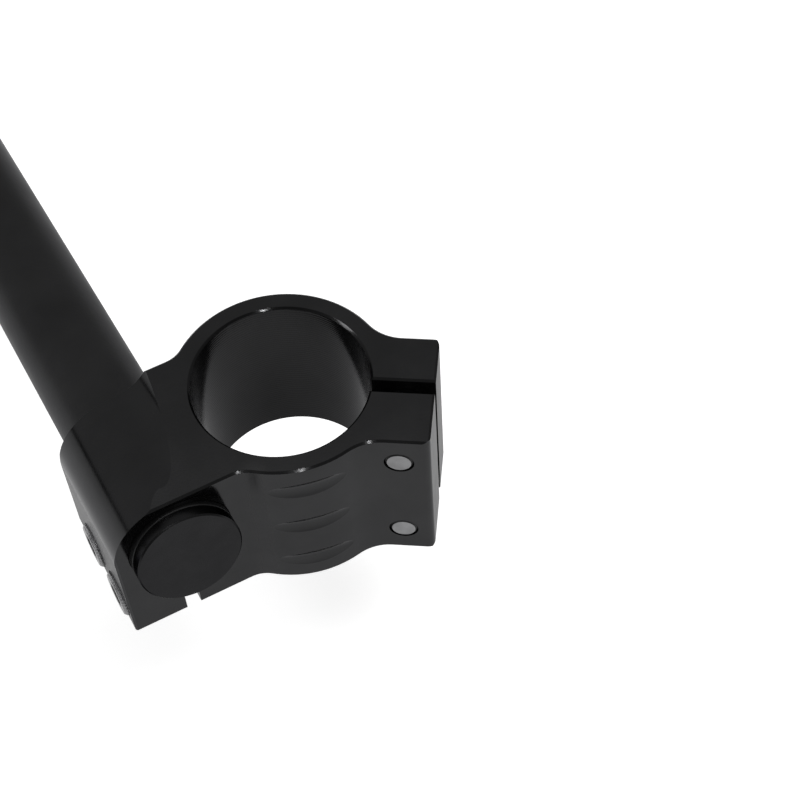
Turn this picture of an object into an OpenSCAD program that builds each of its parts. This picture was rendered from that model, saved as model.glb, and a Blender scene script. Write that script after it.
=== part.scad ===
// Left clip-on handlebar: a clamp for a fork tube with a slit socket that carries the bar.
// Origin: on the axis of the fork tube, halfway up the clamp. X+ points to the pinch ears,
// Y+ to the heads of the fork bolts, Z+ up along the fork tube.

/* [Fork clamp] */
// Diameter of the fork tube that the clamp grips
fork_d = 37; // [35:0.5:41]
// Wall of the ring round the fork tube
ring_wall = 4.2; // [3.8:0.2:6]
// Height of the clamp along the fork tube
clamp_h = 40; // [39:0.5:46]
// Small bevel on the machined edges
edge = 0.45; // [0.2:0.05:0.6]
// Radius of the hollow corners between the ring and the socket
web_r = 6.5; // [5:0.5:8]

/* [Pinch ears] */
// Width of the slit between the ears
slit_w = 2.8; // [2:0.2:4]
// How far the ears stand out of the ring
ear_out = 8.95; // [8.6:0.05:11]
// Thickness of the ear that takes the bolt heads
head_ear_t = 11; // [10.6:0.2:12]
// Thickness of the ear with the threads
thread_ear_t = 12.4; // [11:0.2:13]
// Distance from the ear ends to the fork bolts
fork_bolt_inset = 6.45; // [5.9:0.05:6.6]
// Distance between the two fork bolts
fork_bolt_pitch = 25; // [20:0.5:26]
// How deep the end of a fork bolt lies inside its threaded hole
fork_bolt_end_depth = 0; // [0:0.1:1]
// Rounding of the upright corners of the ears
ear_corner_r = 1.8; // [0.8:0.1:2.2]
// Radius of the hollow corners between the ring and the ears
ear_web_r = 10; // [6:0.5:11]

/* [Grooves] */
// Width of the three grooves in the ring
groove_w = 4.8; // [3:0.2:6]
// Depth of the grooves at their middle
groove_depth = 0.55; // [0.3:0.05:0.9]
// Angle round the fork tube that each groove spans
groove_span = 42; // [30:1:44]
// Distance from one groove to the next
groove_pitch = 13; // [9:0.2:13]
// How far the middle groove lies below the middle of the clamp
groove_drop = 0.2; // [0:0.1:1]
// Direction that the grooves face, around the fork tube
groove_angle = -70; // [-74:1:-66]

/* [Bar] */
// Outer diameter of the bar
bar_d = 22.2; // [21.8:0.1:22.4]
// Wall of the bar
bar_wall = 3; // [2:0.25:4]
// Length of the bar
bar_len = 280; // [160:5:320]
// Angle by which the bar droops towards the grip
bar_droop = 9.5; // [6:0.5:10]
// Height of the bar's middle above the middle of the clamp, at the socket
bar_z = 3.8; // [3.4:0.1:4.6]
// How far the bar stands out of the socket at its inner end
bar_out = 2.9; // [2.8:0.1:5]
// Play between the bar and its socket, all round
bar_play = 0.1; // [0.05:0.01:0.15]

/* [Bar end plug] */
// Thickness of the plug's flat head
plug_head_t = 3; // [2:0.5:5]
// Length of the plug inside the bar
plug_spigot = 12; // [8:1:20]
// Bevel round the plug's face
plug_edge = 0.3; // [0.1:0.05:0.6]
// How much wider the bar is bored out where it takes the plug
plug_seat = 0.5; // [0.3:0.1:0.8]

/* [Bar socket] */
// Direction in which the socket lies, around the fork tube
socket_angle = 213; // [210:1:216]
// Length of the socket along the bar
socket_len = 32.2; // [31:0.2:34]
// Metal between the fork tube and the bar at their nearest
socket_gap = 1.8; // [1.6:0.1:2.6]
// Wall of the rounded socket outside the bar
socket_wall = 2.9; // [2.7:0.1:3.4]
// Radius of the scoop that leads from the rounded socket up to the top face
scoop_r = 10; // [9:0.5:11]
// Width of the slit below the bar
socket_slit_w = 3.2; // [2.4:0.2:3.6]
// How far that slit lies outside the middle of the bar
socket_slit_out = 0.6; // [0:0.1:1]
// Height of the socket bolts above the underside of the clamp
socket_bolt_z = 6; // [5.9:0.1:6.4]
// Distance between the two socket bolts
socket_bolt_pitch = 13.4; // [12:0.2:14]
// How far the middle of the two bolts lies towards the inner end of the bar
socket_bolt_shift = 2.5; // [1.5:0.1:2.8]
// How far the heads of the socket bolts stand out of the side
socket_head_proud = 0.85; // [0.4:0.05:1.5]
// Length of the socket bolts under their heads
socket_bolt_len = 16; // [14:1:17]

/* [Bolts] */
// Diameter of the bolts
bolt_d = 6; // [5.6:0.1:6]
// Diameter of the bolt heads
head_d = 10; // [9.6:0.1:10]
// Height of the bolt heads
head_h = 6; // [5:0.5:6]
// Width of the hexagon socket across its flats
key_w = 5; // [4:0.5:5]
// Depth of the hexagon socket
key_depth = 3; // [2:0.25:3.5]
// Play round a bolt's threads
thread_play = 0.1; // [0.05:0.01:0.15]
// Play round a bolt's shank in the plain half of its hole
shank_play = 0.3; // [0.2:0.05:0.4]
// Play round the sunk bolt heads
head_play = 0.25; // [0.2:0.05:0.3]

/* [Hidden] */
$fn = 96;
fork_r = fork_d / 2;
ring_r = fork_r + ring_wall;
half_h = clamp_h / 2;
ear_end = ring_r + ear_out;
head_face = slit_w / 2 + head_ear_t;
thread_face = slit_w / 2 + thread_ear_t;
bolt_r = bolt_d / 2;
head_r = head_d / 2;
fork_bolt_x = ear_end - fork_bolt_inset;
fork_bolt_len = 20;
fork_seat_y = fork_bolt_len + fork_bolt_end_depth - thread_face;
bar_r = bar_d / 2;
bore_r = bar_r + bar_play;
bar_bore_r = bar_r - bar_wall;
plug_seat_r = bar_bore_r + plug_seat;
spigot_r = plug_seat_r - bar_play;
bar_inner = socket_len / 2 + bar_out;
joint_edge = 0.2;
end_edge = 0.5;
bar_x = fork_r + socket_gap + bar_r;
socket_r = bar_r + socket_wall;
side_x = bar_x + socket_r;
half_len = socket_len / 2;
socket_seat_x = side_x + socket_head_proud - head_h;
block_in = fork_r * 0.7;
overlap = 2;
cut_past = 1;
sink = 0.02;

clamp_body();
handlebar_tube();
inner_end_plug();
fork_pinch_bolts();
bar_pinch_bolts();

// Clamp: ring, two ears and the socket in one piece, with its bores and slits cut out.
module clamp_body() {
    color("#1d1e20")
    difference() {
        union() {
            ring();
            ears();
            socket();
        }
        flared_hole(fork_r);
        pinch_slit();
        fork_bolt_holes();
        grooves();
        in_socket() socket_cuts();
    }
}

module ring() {
    rotate_extrude()
        polygon([
            [fork_r - overlap, -half_h], [ring_r - edge, -half_h], [ring_r, -half_h + edge],
            [ring_r, half_h - edge], [ring_r - edge, half_h], [fork_r - overlap, half_h]
        ]);
}

module ears() {
    ear_len = ear_end - block_in;
    ear_w = head_face + thread_face;
    translate([block_in + ear_len / 2, (head_face - thread_face) / 2, 0])
        intersection() {
            bevelled_block(ear_len, ear_w, clamp_h);
            rounded_end(ear_len, ear_w);
        }
    web(head_face, ear_web_r);
    mirror([0, 1, 0]) web(thread_face, ear_web_r);
}

module socket() {
    block_len = side_x - block_in;
    in_socket() {
        difference() {
            translate([block_in + block_len / 2, 0, 0])
                bevelled_block(block_len, socket_len, clamp_h);
            along_bar() over_barrel();
        }
        web(half_len, web_r);
        mirror([0, 1, 0]) web(half_len, web_r);
    }
}

// Everything that is cut out of the socket: the bar's bore, the slit under it and the bolt holes.
module socket_cuts() {
    along_bar()
        cylinder(h = socket_len * 2, r = bore_r, center = true);
    translate([bar_x + socket_slit_out, 0, bar_z - clamp_h / 2])
        cube([socket_slit_w, socket_len * 2, clamp_h], center = true);
    at_socket_bolts() {
        translate([0, 0, -socket_bolt_len - cut_past])
            cylinder(h = socket_bolt_len + cut_past * 2, r = bolt_r + thread_play);
        translate([0, 0, bar_x + socket_slit_out - socket_seat_x])
            cylinder(h = socket_wall + socket_r, r = bolt_r + shank_play);
        cylinder(h = head_h * 2, r = head_r + head_play);
    }
}

// Space above the rounded socket, drawn across the bar: outside the bar it follows the
// rounding, inside it is the scoop that rises to the top face.
module over_barrel() {
    linear_extrude(socket_len * 2, center = true) {
        difference() {
            square([socket_r * 2, clamp_h]);
            circle(r = socket_r + sink);
        }
        translate([0, socket_r + scoop_r - sink]) circle(r = scoop_r);
        translate([-scoop_r * 0.98, socket_r + scoop_r]) square([scoop_r, clamp_h]);
    }
}

module pinch_slit() {
    half_w = slit_w / 2;
    wide = half_w + edge + cut_past;
    high = half_h + cut_past;
    rotate([90, 0, 90])
        linear_extrude(ear_end + cut_past)
            polygon([
                [half_w, half_h - edge], [wide, high], [-wide, high], [-half_w, half_h - edge],
                [-half_w, edge - half_h], [-wide, -high], [wide, -high], [half_w, edge - half_h]
            ]);
}

module fork_bolt_holes() {
    at_fork_bolts() {
        cylinder(h = fork_bolt_len * 4, r = bolt_r + thread_play, center = true);
        translate([0, 0, -fork_seat_y])
            cylinder(h = head_face, r = bolt_r + shank_play);
        cylinder(h = head_h * 2, r = head_r + head_play);
    }
}

// Each groove is a shallow round cut whose path is flatter than the ring, so it fades out at its ends.
module grooves() {
    half_span = groove_span / 2;
    floor_r = ring_r - groove_depth;
    cutter_r = (pow(groove_w / 2, 2) + pow(groove_depth, 2)) / (2 * groove_depth);
    back = (pow(ring_r, 2) - pow(floor_r, 2)) / (2 * (floor_r - ring_r * cos(half_span)));
    reach = ring_r * sin(half_span) + cut_past;
    rotate([0, 0, groove_angle])
        for (i = [-1, 0, 1])
            translate([0, 0, i * groove_pitch - groove_drop])
                intersection() {
                    translate([-back, 0, 0])
                        rotate_extrude()
                            translate([floor_r + back + cutter_r, 0]) circle(r = cutter_r);
                    translate([fork_r, -reach, -groove_w])
                        cube([ring_wall * 2, reach * 2, groove_w * 2]);
                }
}

// Hollow corner of radius r between the ring and a flat face that stands at the given Y.
module web(face, r) {
    across = sqrt(pow(ring_r + r, 2) - pow(face + r, 2));
    on_ring = ring_r / (ring_r + r);
    in_ring = (fork_r + ring_wall / 2) / (ring_r + r);
    difference() {
        linear_extrude(clamp_h, center = true)
            polygon([
                [across, face - overlap], [across, face],
                [across * on_ring, (face + r) * on_ring],
                [across * in_ring, (face + r) * in_ring],
                [across * in_ring, face - overlap]
            ]);
        translate([across, face + r, 0]) flared_hole(r);
    }
}

// Round hole as high as the clamp, with the edge bevel at both ends.
module flared_hole(r) {
    wide = r + edge + cut_past;
    high = half_h + cut_past;
    rotate_extrude()
        polygon([
            [0, -high], [wide, -high], [r, edge - half_h],
            [r, half_h - edge], [wide, high], [0, high]
        ]);
}

module bevelled_block(x, y, z) {
    intersection() {
        linear_extrude(z, center = true) bevelled_face(x, y);
        rotate([90, 0, 0]) linear_extrude(y, center = true) bevelled_face(x, z);
        rotate([90, 0, 90]) linear_extrude(x, center = true) bevelled_face(y, z);
    }
}

// Outline of the ears from above: upright corners rounded at the X+ end.
module rounded_end(x, y) {
    a = x / 2;
    b = y / 2;
    linear_extrude(clamp_h * 2, center = true) {
        translate([-a - cut_past, -b]) square([x + cut_past - ear_corner_r, y]);
        translate([0, ear_corner_r - b]) square([a, y - ear_corner_r * 2]);
        for (side = [-1, 1])
            translate([a - ear_corner_r, side * (b - ear_corner_r)]) circle(r = ear_corner_r);
    }
}

module bevelled_face(x, y) {
    a = x / 2;
    b = y / 2;
    polygon([
        [a, b - edge], [a - edge, b], [edge - a, b], [-a, b - edge],
        [-a, edge - b], [edge - a, -b], [a - edge, -b], [a, edge - b]
    ]);
}

// Bar: open at the grip end, closed by the plug at its inner end.
module handlebar_tube() {
    color("#141414")
    in_socket() along_bar()
        translate([0, 0, -bar_inner])
            rotate_extrude()
                polygon([
                    [plug_seat_r, 0], [bar_r - joint_edge, 0], [bar_r, joint_edge],
                    [bar_r, bar_len - end_edge], [bar_r - end_edge, bar_len], [bar_bore_r, bar_len],
                    [bar_bore_r, plug_spigot + end_edge], [plug_seat_r, plug_spigot + end_edge]
                ]);
}

module inner_end_plug() {
    color("#1b1b1c")
    in_socket() along_bar()
        translate([0, 0, -bar_inner])
            rotate_extrude()
                polygon([
                    [0, -plug_head_t], [bar_r - plug_edge, -plug_head_t],
                    [bar_r, plug_edge - plug_head_t], [bar_r, -joint_edge], [bar_r - joint_edge, 0],
                    [spigot_r, 0], [spigot_r, plug_spigot - end_edge],
                    [spigot_r - end_edge, plug_spigot], [0, plug_spigot]
                ]);
}

module fork_pinch_bolts() {
    color("#77787a")
    at_fork_bolts() cap_bolt(fork_bolt_len);
}

module bar_pinch_bolts() {
    color("#b9babc")
    in_socket() at_socket_bolts() cap_bolt(socket_bolt_len);
}

// Cap screw with a hexagon socket: its head stands on the origin, its shank runs down.
module cap_bolt(shank) {
    difference() {
        rotate_extrude()
            polygon([
                [0, -shank], [bolt_r - end_edge, -shank], [bolt_r, end_edge - shank], [bolt_r, 0],
                [head_r, 0], [head_r, head_h - end_edge], [head_r - end_edge, head_h], [0, head_h]
            ]);
        translate([0, 0, head_h - key_depth])
            cylinder(h = key_depth + cut_past, d = key_w / cos(30), $fn = 6);
    }
}

// Places: heads of the fork bolts, heads of the socket bolts, the socket's own directions
// (X+ away from the fork tube, Y+ to the inner end of the bar) and the line of the bar (Z+ to the grip).
module at_fork_bolts() {
    for (side = [-1, 1])
        translate([fork_bolt_x, fork_seat_y, side * fork_bolt_pitch / 2])
            rotate([-90, 0, 0])
                children();
}

module at_socket_bolts() {
    for (side = [-1, 1])
        translate([
            socket_seat_x, socket_bolt_shift + side * socket_bolt_pitch / 2, socket_bolt_z - half_h
        ])
            rotate([0, 90, 0])
                children();
}

module in_socket() {
    rotate([0, 0, socket_angle]) children();
}

module along_bar() {
    translate([bar_x, 0, bar_z])
        rotate([90 + bar_droop, 0, 0])
            children();
}
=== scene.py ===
import math

import bpy
from mathutils import Matrix, Vector

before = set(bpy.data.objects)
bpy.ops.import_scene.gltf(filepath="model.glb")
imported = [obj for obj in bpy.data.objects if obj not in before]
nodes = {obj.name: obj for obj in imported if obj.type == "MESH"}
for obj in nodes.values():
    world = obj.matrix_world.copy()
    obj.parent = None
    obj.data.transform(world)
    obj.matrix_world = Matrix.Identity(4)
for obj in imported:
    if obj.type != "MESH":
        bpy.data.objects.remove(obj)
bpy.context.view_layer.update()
scene = bpy.context.scene
scene.view_settings.view_transform = "Standard"
print("frame loaded:", sorted(nodes))


def turnFrom(columns):
    turn = Matrix([[column[row] for column in columns] for row in range(3)])
    return turn.to_4x4()


# Camera, as the photograph was taken: above and in front of the clamp.
camera = {
    "place": (0.0558, -0.21494, 0.31906),
    "right": (0.99528, 0.08804, -0.04092),
    "down": (0.04811, -0.81335, -0.57979),
    "forward": (-0.08433, 0.57508, -0.81374),
    "lens": 82.4,
    "sensor": 36.0,
    "clipStart": 0.01,
    "clipEnd": 20,
}


def makeCamera(settings):
    data = bpy.data.cameras.new("camera")
    data.lens = settings["lens"]
    data.sensor_width = settings["sensor"]
    data.clip_start = settings["clipStart"]
    data.clip_end = settings["clipEnd"]
    item = bpy.data.objects.new("camera", data)
    scene.collection.objects.link(item)
    right, up, back = (Vector(settings["right"]), -Vector(settings["down"]),
                       -Vector(settings["forward"]))
    item.matrix_world = Matrix.Translation(settings["place"]) @ turnFrom([right, up, back])
    scene.camera = item


makeCamera(camera)
print("camera placed")


# Small helpers for the shader nodes.
def addNode(tree, kind, **values):
    node = tree.nodes.new(kind)
    for name, value in values.items():
        if name in node.inputs:
            node.inputs[name].default_value = value
        else:
            setattr(node, name, value)
    return node


def mathNode(tree, operation, first, second=None):
    node = addNode(tree, "ShaderNodeMath", operation=operation)
    for index, value in enumerate((first, second)):
        if value is None:
            continue
        if isinstance(value, (int, float)):
            node.inputs[index].default_value = value
        else:
            tree.links.new(value, node.inputs[index])
    return node.outputs[0]


def rampNode(tree, value, source, target, smooth=False):
    ramp = addNode(tree, "ShaderNodeMapRange",
                   interpolation_type="SMOOTHSTEP" if smooth else "LINEAR")
    for name, number in zip(("From Min", "From Max", "To Min", "To Max"), (*source, *target)):
        ramp.inputs[name].default_value = number
    tree.links.new(value, ramp.inputs["Value"])
    return ramp.outputs["Result"]


# A factor: 1 outside the mask, and the value inside it.
def insideMask(tree, mask, value):
    return rampNode(tree, mask, (0.0, 1.0), (1.0, value))


def lengthOf(tree, first, second):
    squares = [mathNode(tree, "MULTIPLY", side, side) for side in (first, second)]
    return mathNode(tree, "SQRT", mathNode(tree, "ADD", *squares))


def splitVector(tree, vector):
    split = tree.nodes.new("ShaderNodeSeparateXYZ")
    tree.links.new(vector, split.inputs[0])
    return split.outputs


def newGroup(name, inputs, output):
    group = bpy.data.node_groups.new(name, "ShaderNodeTree")
    for label in inputs:
        kind = "NodeSocketVector" if label == "Vector" else "NodeSocketFloat"
        group.interface.new_socket(name=label, in_out="INPUT", socket_type=kind)
    group.interface.new_socket(name=output, in_out="OUTPUT", socket_type="NodeSocketFloat")
    given = group.nodes.new("NodeGroupInput").outputs
    return group, given, group.nodes.new("NodeGroupOutput").inputs[output]


def placeGroup(tree, group, **values):
    node = tree.nodes.new("ShaderNodeGroup")
    node.node_tree = group
    for name, value in values.items():
        if isinstance(value, (int, float)):
            node.inputs[name].default_value = value
        else:
            tree.links.new(value, node.inputs[name])
    return node.outputs[0]


# Soft mottling: a slow drift of tone and gloss, as on dyed or painted metal.
mottle = {
    "detail": 4.0,
    "roughness": 0.6,
    "noiseLow": 0.3,
    "noiseHigh": 0.7,
}


def makeMottleGroup(shape):
    group, given, result = newGroup("softMottle", ("Vector", "Scale", "Low", "High"), "Value")
    noise = addNode(group, "ShaderNodeTexNoise",
                    Detail=shape["detail"], Roughness=shape["roughness"])
    spread = addNode(group, "ShaderNodeMapRange")
    spread.inputs["From Min"].default_value = shape["noiseLow"]
    spread.inputs["From Max"].default_value = shape["noiseHigh"]
    link = group.links.new
    link(given["Vector"], noise.inputs["Vector"])
    link(given["Scale"], noise.inputs["Scale"])
    link(noise.outputs["Fac"], spread.inputs["Value"])
    link(given["Low"], spread.inputs["To Min"])
    link(given["High"], spread.inputs["To Max"])
    link(spread.outputs["Result"], result)
    return group


# Fine peel: tiny bumps of a blasted, dyed or painted skin.
peel = {
    "detail": 2.0,
    "roughness": 0.5,
    "finerScale": 2.2,
    "finerShare": 0.35,
}


def makePeelGroup(shape):
    group, given, result = newGroup("finePeel", ("Vector", "Scale"), "Height")
    coarse = addNode(group, "ShaderNodeTexNoise",
                     Detail=shape["detail"], Roughness=shape["roughness"])
    fine = addNode(group, "ShaderNodeTexVoronoi")
    link = group.links.new
    link(given["Vector"], coarse.inputs["Vector"])
    link(given["Scale"], coarse.inputs["Scale"])
    link(given["Vector"], fine.inputs["Vector"])
    link(mathNode(group, "MULTIPLY", given["Scale"], shape["finerScale"]), fine.inputs["Scale"])
    finer = mathNode(group, "MULTIPLY", fine.outputs["Distance"], shape["finerShare"])
    link(mathNode(group, "ADD", coarse.outputs["Fac"], finer), result)
    return group


# Tool lines: rings or strokes that a cutter leaves, running across the chosen direction.
strokes = {
    "noiseScale": 180.0,
    "detail": 3.0,
    "drift": 1.5,
}


def makeToolLineGroup(shape):
    group, given, result = newGroup("toolLines", ("Along", "Pitch", "Vector"), "Height")
    noise = addNode(group, "ShaderNodeTexNoise",
                    Scale=shape["noiseScale"], Detail=shape["detail"])
    link = group.links.new
    link(given["Vector"], noise.inputs["Vector"])
    turns = mathNode(group, "DIVIDE", given["Along"], given["Pitch"])
    drift = mathNode(group, "MULTIPLY", noise.outputs["Fac"], shape["drift"])
    phase = mathNode(group, "MULTIPLY", mathNode(group, "ADD", turns, drift), 2 * math.pi)
    wave = mathNode(group, "SINE", phase)
    link(mathNode(group, "MULTIPLY", wave, noise.outputs["Fac"]), result)
    return group


softMottle = makeMottleGroup(mottle)
finePeel = makePeelGroup(peel)
toolLines = makeToolLineGroup(strokes)


# Every material starts with its own drift of tone and gloss.
def startMaterial(look):
    material = bpy.data.materials.new(look["name"])
    material.use_nodes = True
    tree = material.node_tree
    shader = tree.nodes["Principled BSDF"]
    shader.inputs["Metallic"].default_value = look["metallic"]
    shader.inputs["Specular IOR Level"].default_value = look["specular"]
    shader.inputs["Specular Tint"].default_value = look["edgeTint"]
    coords = tree.nodes.new("ShaderNodeTexCoord").outputs["Object"]
    tone = placeGroup(tree, softMottle, Vector=coords, Scale=look["toneScale"],
                      Low=look["toneLow"], High=look["toneHigh"])
    gloss = placeGroup(tree, softMottle, Vector=coords, Scale=look["glossScale"],
                       Low=look["roughLow"], High=look["roughHigh"])
    return material, tree, coords, tone, gloss


def finishMaterial(material, look, tone, gloss, height):
    tree = material.node_tree
    shader = tree.nodes["Principled BSDF"]
    tint = addNode(tree, "ShaderNodeMix", data_type="RGBA", blend_type="MULTIPLY")
    tint.inputs["Factor"].default_value = 1.0
    tint.inputs["A"].default_value = (*look["colour"], 1)
    bump = addNode(tree, "ShaderNodeBump", Strength=look["bump"], Distance=look["bumpDistance"])
    link = tree.links.new
    link(tone, tint.inputs["B"])
    link(tint.outputs["Result"], shader.inputs["Base Color"])
    link(gloss, shader.inputs["Roughness"])
    link(height, bump.inputs["Height"])
    link(bump.outputs["Normal"], shader.inputs["Normal"])
    return material


# Clamp: black dyed aluminium, smooth milled faces, fine bored rings inside the fork bore; the
# bore's colour is painted darker as painted shade, and the ring/socket blend is painted lighter as
# painted light.
clampLook = {
    "name": "blackDyedAluminium",
    "colour": (0.034, 0.0341, 0.0349),
    "metallic": 0.9,
    "specular": 0.5,
    "edgeTint": (0.6, 0.6, 0.605, 1),
    "toneScale": 70.0,
    "toneLow": 0.9,
    "toneHigh": 1.1,
    "glossScale": 140.0,
    "roughLow": 0.12,
    "roughHigh": 0.16,
    "roughAside": 0.17,
    "asideFrom": 0.82,
    "asideTo": 0.96,
    "seamPlace": (-0.0026, -0.02257),  # upright line where ring and socket blend into each other
    "seamNear": 0.0008,
    "seamFar": 0.0042,
    "roughSeam": 0.15,
    # painted light: colour lifted near the blend line
    "seamPaintedLight": 1.1,
    "boreRadius": 0.0189,
    "borePitch": 0.0007,
    "boreDepth": 1.0,
    # painted shade: the colour inside the bore is darkened by this factor
    "boreShadeTone": 0.66,
    "peelScale": 1500.0,
    "peelShare": 0.5,
    "bump": 0.05,
    "bumpDistance": 0.0002,
}


# A dyed skin mirrors less sharply where it is seen from the side.
def softenAside(tree, gloss, look):
    facing = tree.nodes.new("ShaderNodeLayerWeight").outputs["Facing"]
    aside = rampNode(tree, facing, (look["asideFrom"], look["asideTo"]),
                     (0.0, look["roughAside"]), smooth=True)
    return mathNode(tree, "ADD", gloss, aside)


def makeClampMaterial(look):
    material, tree, coords, tone, gloss = startMaterial(look)
    x, y, z = splitVector(tree, coords)
    seamX, seamY = look["seamPlace"]
    fromSeam = lengthOf(tree, mathNode(tree, "SUBTRACT", x, seamX),
                        mathNode(tree, "SUBTRACT", y, seamY))
    seam = rampNode(tree, fromSeam, (look["seamNear"], look["seamFar"]), (1.0, 0.0), smooth=True)
    gloss = mathNode(tree, "ADD", gloss, mathNode(tree, "MULTIPLY", seam, look["roughSeam"]))
    inBore = mathNode(tree, "LESS_THAN", lengthOf(tree, x, y), look["boreRadius"])
    # Inside the bore the colour is painted darker: painted shade in the bore.
    tone = mathNode(tree, "MULTIPLY", tone, insideMask(tree, inBore, look["boreShadeTone"]))
    # Near the ring/socket blend the colour is painted lighter: painted light over the dark
    # reflection of the plug's rim.
    tone = mathNode(tree, "MULTIPLY", tone, insideMask(tree, seam, look["seamPaintedLight"]))
    rings = placeGroup(tree, toolLines, Along=z, Pitch=look["borePitch"], Vector=coords)
    skin = placeGroup(tree, finePeel, Vector=coords, Scale=look["peelScale"])
    ringDepth = mathNode(tree, "MULTIPLY", inBore, look["boreDepth"])
    height = mathNode(tree, "ADD", mathNode(tree, "MULTIPLY", rings, ringDepth),
                      mathNode(tree, "MULTIPLY", skin, look["peelShare"]))
    return finishMaterial(material, look, tone, softenAside(tree, gloss, look), height)


# Bar: satin black finish on a steel tube.
barLook = {
    "name": "satinBlackTube",
    "colour": (0.0345, 0.0345, 0.0352),
    "metallic": 0.9,
    "specular": 0.4,
    "edgeTint": (0.53, 0.53, 0.535, 1),
    "toneScale": 45.0,
    "toneLow": 0.9,
    "toneHigh": 1.1,
    "glossScale": 90.0,
    "roughLow": 0.33,
    "roughHigh": 0.4,
    "peelScale": 1100.0,
    "bump": 0.12,
    "bumpDistance": 0.0001,
}


def makeBarMaterial(look):
    material, tree, coords, tone, gloss = startMaterial(look)
    skin = placeGroup(tree, finePeel, Vector=coords, Scale=look["peelScale"])
    return finishMaterial(material, look, tone, gloss, skin)


# Line of the bar, as the CAD has it: the middle of the socket and the way to the grip.
barLine = {
    "socketAngle": 213.0,
    "droop": 9.5,
    "reach": 0.0314,
    "height": 0.0038,
}


def barFrame(line):
    turn = Matrix.Rotation(math.radians(line["socketAngle"]), 4, "Z")
    shift = Matrix.Translation((line["reach"], 0, line["height"]))
    tilt = Matrix.Rotation(math.radians(90 + line["droop"]), 4, "X")
    return turn @ shift @ tilt


# Object coordinates seen from a place on the part: its Z is the piece's own axis.
def toLocal(tree, coords, place):
    back = place.inverted()
    mapping = addNode(tree, "ShaderNodeMapping",
                      Location=back.to_translation(), Rotation=back.to_euler("XYZ"))
    tree.links.new(coords, mapping.inputs["Vector"])
    return splitVector(tree, mapping.outputs["Vector"])


# Plug: turned black cap, with fine rings on its flat face.
plugLook = {
    "name": "turnedBlackCap",
    "colour": (0.03, 0.03, 0.031),
    "metallic": 1.0,
    "specular": 0.5,
    "edgeTint": (0.3, 0.3, 0.305, 1),
    "toneScale": 120.0,
    "toneLow": 0.92,
    "toneHigh": 1.08,
    "glossScale": 200.0,
    "roughLow": 0.24,
    "roughHigh": 0.32,
    "ringPitch": 0.00035,
    "bump": 0.1,
    "bumpDistance": 0.00005,
}


def makePlugMaterial(look):
    material, tree, coords, tone, gloss = startMaterial(look)
    x, y, _ = toLocal(tree, coords, barFrame(barLine))
    rings = placeGroup(tree, toolLines, Along=lengthOf(tree, x, y),
                       Pitch=look["ringPitch"], Vector=coords)
    return finishMaterial(material, look, tone, gloss, rings)


# Bolts: dull steel with bare cut ends and knurled heads; the threads and the hex key sockets are
# painted darker, as painted shade in the tapped holes and the socket recesses.
forkBoltLook = {
    "name": "dullSteelBolt",
    "middle": (0.0252, 0.0062, 0.0),  # on the seat of the heads, halfway between the two bolts
    "headWay": (0.0, 1.0, 0.0),
    "pairWay": (0.0, 0.0, 1.0),
    "pitch": 0.025,
    "colour": (0.26, 0.26, 0.265),
    "metallic": 0.9,
    "specular": 0.5,
    "edgeTint": (1.0, 1.0, 1.0, 1),
    "toneScale": 260.0,
    "toneLow": 0.85,
    "toneHigh": 1.12,
    "glossScale": 420.0,
    "roughLow": 0.4,
    "roughHigh": 0.55,
    "threadRadius": 0.00247,
    # painted shade: the threads are darkened by this factor
    "threadShadeTone": 0.12,
    "threadPitch": 0.001,
    "knurlRadius": 0.0046,
    "knurls": 40.0,
    "knurlDepth": 0.35,
    "keyRadius": 0.003,
    "keyDepth": 0.0055,
    # painted shade: the hex key socket is darkened by this factor
    "keyShadeTone": 0.3,
    "bump": 0.5,
    "bumpDistance": 0.0003,
}
barBoltLook = dict(
    forkBoltLook,
    name="brightSteelBolt",
    middle=(-0.03239, -0.02402, -0.014),
    headWay=(-0.83867, -0.54464, 0.0),
    pairWay=(0.54464, -0.83867, 0.0),
    pitch=0.0134,
    colour=(0.22, 0.22, 0.225),
    roughLow=0.25,
    roughHigh=0.36,
)


def pairFrame(look):
    up, across = Vector(look["headWay"]), Vector(look["pairWay"])
    return Matrix.Translation(look["middle"]) @ turnFrom([across.cross(up), across, up])


def makeBoltMaterial(look):
    material, tree, coords, tone, gloss = startMaterial(look)
    x, y, z = toLocal(tree, coords, pairFrame(look))
    across = mathNode(tree, "SUBTRACT", mathNode(tree, "ABSOLUTE", y), look["pitch"] / 2)
    radius = lengthOf(tree, x, across)
    below = mathNode(tree, "LESS_THAN", z, 0.0)
    above = mathNode(tree, "GREATER_THAN", z, 0.0)
    inThread = mathNode(tree, "MULTIPLY", below,
                        mathNode(tree, "GREATER_THAN", radius, look["threadRadius"]))
    inKey = mathNode(tree, "MULTIPLY", mathNode(tree, "LESS_THAN", radius, look["keyRadius"]),
                     mathNode(tree, "LESS_THAN", z, look["keyDepth"]))
    inKey = mathNode(tree, "MULTIPLY", inKey, above)
    inKnurl = mathNode(tree, "MULTIPLY", above,
                       mathNode(tree, "GREATER_THAN", radius, look["knurlRadius"]))
    # The threads are painted darker: painted shade, which rings the bolt tips in their tapped
    # holes.
    tone = mathNode(tree, "MULTIPLY", tone, insideMask(tree, inThread, look["threadShadeTone"]))
    # Inside the hex key socket the colour is painted darker: painted shade in the recess.
    tone = mathNode(tree, "MULTIPLY", tone, insideMask(tree, inKey, look["keyShadeTone"]))
    threads = placeGroup(tree, toolLines, Along=z, Pitch=look["threadPitch"], Vector=coords)
    turned = mathNode(tree, "MULTIPLY", mathNode(tree, "ARCTAN2", across, x), look["knurls"])
    knurl = mathNode(tree, "MULTIPLY", mathNode(tree, "SINE", turned),
                     mathNode(tree, "MULTIPLY", inKnurl, look["knurlDepth"]))
    height = mathNode(tree, "ADD", mathNode(tree, "MULTIPLY", threads, inThread), knurl)
    return finishMaterial(material, look, tone, gloss, height)


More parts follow.
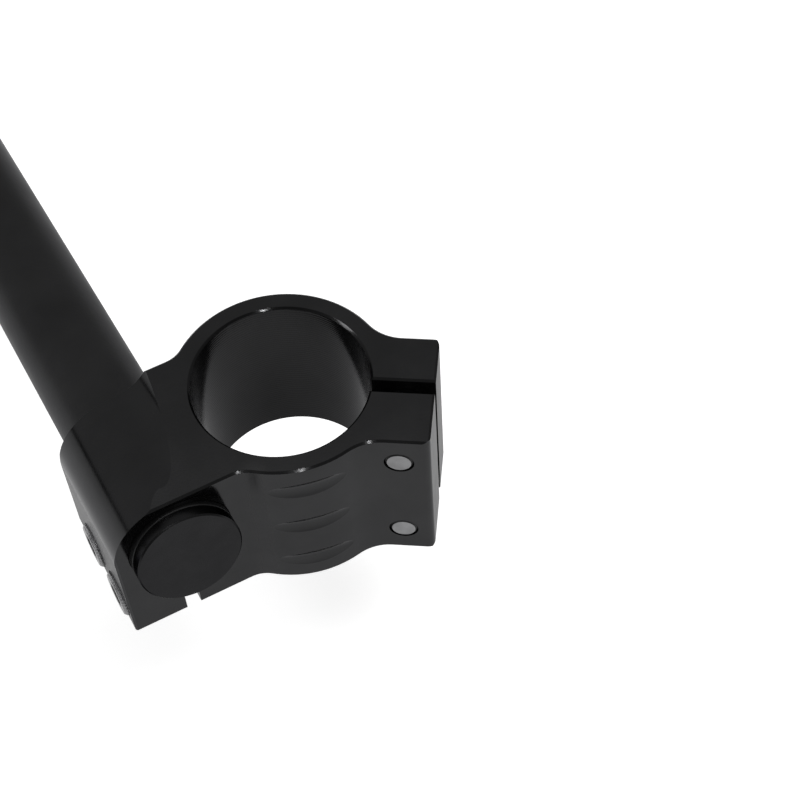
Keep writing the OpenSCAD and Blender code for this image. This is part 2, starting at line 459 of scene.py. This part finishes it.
def dress(name, material):
    mesh = nodes[name].data
    mesh.materials.clear()
    mesh.materials.append(material)
    for face in mesh.polygons:
        face.material_index = 0


dress("clamp_body", makeClampMaterial(clampLook))
dress("handlebar_tube", makeBarMaterial(barLook))
dress("inner_end_plug", makePlugMaterial(plugLook))
dress("fork_pinch_bolts", makeBoltMaterial(forkBoltLook))
dress("bar_pinch_bolts", makeBoltMaterial(barBoltLook))
print("materials made")


# Studio: a pale floor, a soft sky and soft lamps. The floor shows white from above, and in
# mirrored rays it glows with painted light, brighter to the left and fading to the front, which
# the metal shows as painted reflections.
floorLook = {
    "z": -0.052,
    "size": 8.0,
    "colour": (0.8, 0.8, 0.8, 1),
    "roughness": 0.9,
    "specular": 0.0,
    "glow": 0.62,
    "glowMirrored": 0.32,
    "leftFrom": 0.04,  # towards the left it rises from here to "leftTo"
    "leftTo": 0.11,
    "leftGain": 2.0,
    "leftFar": 0.5,  # and has faded again here
    "leftFarGain": 0.6,
    "near": 0.05,  # towards the front it fades from here to "far"
    "far": 0.22,
    "farShare": 0.1,
}


def makeFloor(look):
    bpy.ops.object.select_all(action="DESELECT")
    bpy.ops.mesh.primitive_plane_add(size=look["size"], location=(0, 0, look["z"]))
    floor = bpy.context.object
    floor.name = "floor"
    bpy.ops.object.transform_apply(location=True)
    material = bpy.data.materials.new("paleFloor")
    material.use_nodes = True
    tree = material.node_tree
    shader = tree.nodes["Principled BSDF"]
    shader.inputs["Base Color"].default_value = look["colour"]
    shader.inputs["Roughness"].default_value = look["roughness"]
    shader.inputs["Specular IOR Level"].default_value = look["specular"]
    shader.inputs["Emission Color"].default_value = (1, 1, 1, 1)
    path = tree.nodes.new("ShaderNodeLightPath").outputs
    x, y, _ = splitVector(tree, tree.nodes.new("ShaderNodeTexCoord").outputs["Object"])
    ahead = mathNode(tree, "MULTIPLY", y, -1.0)
    leftwards = mathNode(tree, "MULTIPLY", x, -1.0)
    fade = rampNode(tree, ahead, (look["near"], look["far"]), (1.0, look["farShare"]), smooth=True)
    gain = rampNode(tree, leftwards, (look["leftFrom"], look["leftTo"]),
                    (look["glowMirrored"], look["glowMirrored"] * look["leftGain"]), smooth=True)
    dusk = rampNode(tree, leftwards, (look["leftTo"], look["leftFar"]),
                    (1.0, look["leftFarGain"] / look["leftGain"]), smooth=True)
    gain = mathNode(tree, "MULTIPLY", gain, dusk)
    # Painted light: the floor glows for mirrored rays only, shaped by the left rise and the front
    # fade above.
    mirrored = mathNode(tree, "MAXIMUM", path["Is Glossy Ray"], path["Is Transmission Ray"])
    glow = mathNode(tree, "MULTIPLY", mirrored, mathNode(tree, "MULTIPLY", fade, gain))
    direct = mathNode(tree, "MULTIPLY", path["Is Camera Ray"], look["glow"])
    tree.links.new(mathNode(tree, "ADD", glow, direct), shader.inputs["Emission Strength"])
    floor.data.materials.append(material)


# Sky: dark in front, light behind, with a soft panel overhead and a dark rim at the horizon.
skyLook = {
    "front": 0.18,
    "back": 0.38,
    "leftShare": 0.5,
    "frontAt": -0.7,
    "backAt": 0.3,
    "panel": 0.5,
    "panelFrom": 0.79,
    "panelTo": 0.9,
    "leftPanel": 0.05,
    "leftPanelFrom": -0.95,
    "leftPanelTo": -0.4,
    "rim": 0.0,
    "rimFrom": 0.035,
    "rimTo": 0.07,
}


def makeSky(look):
    world = bpy.data.worlds.new("softSky")
    scene.world = world
    world.use_nodes = True
    tree = world.node_tree
    background = tree.nodes["Background"]
    background.inputs["Color"].default_value = (1, 1, 1, 1)
    x, y, z = splitVector(tree, tree.nodes.new("ShaderNodeTexCoord").outputs["Generated"])
    towards = mathNode(tree, "SUBTRACT", y, mathNode(tree, "MULTIPLY", x, look["leftShare"]))
    base = rampNode(tree, towards, (look["frontAt"], look["backAt"]),
                    (look["front"], look["back"]))
    panel = rampNode(tree, z, (look["panelFrom"], look["panelTo"]), (0.0, look["panel"]),
                     smooth=True)
    side = rampNode(tree, x, (look["leftPanelFrom"], look["leftPanelTo"]),
                    (look["leftPanel"], 0.0), smooth=True)
    panels = mathNode(tree, "ADD", panel, side)
    rim = rampNode(tree, z, (look["rimFrom"], look["rimTo"]), (look["rim"], 1.0))
    studio = mathNode(tree, "MULTIPLY", mathNode(tree, "ADD", base, panels), rim)
    cameraRay = tree.nodes.new("ShaderNodeLightPath").outputs["Is Camera Ray"]
    seen = mathNode(tree, "MAXIMUM", studio, cameraRay)
    tree.links.new(seen, background.inputs["Strength"])


lamps = [
    {"name": "overhead", "place": (0.5, 0.3, 1.15), "size": 0.8, "power": 6.5},
    {"name": "left", "place": (-1.0, -0.3, 0.6), "size": 0.4, "power": 3.0},
    {"name": "front", "place": (0.45, -1.2, 0.95), "size": 0.07, "power": 1.6},
]


def makeLamp(settings):
    data = bpy.data.lights.new(settings["name"], "AREA")
    data.shape = "DISK"
    data.size = settings["size"]
    data.energy = settings["power"]
    lamp = bpy.data.objects.new(settings["name"], data)
    scene.collection.objects.link(lamp)
    lamp.location = settings["place"]
    aim = -Vector(settings["place"])
    lamp.rotation_euler = aim.to_track_quat("-Z", "Y").to_euler()


makeFloor(floorLook)
makeSky(skyLook)
for lampLook in lamps:
    makeLamp(lampLook)
print("studio lit")
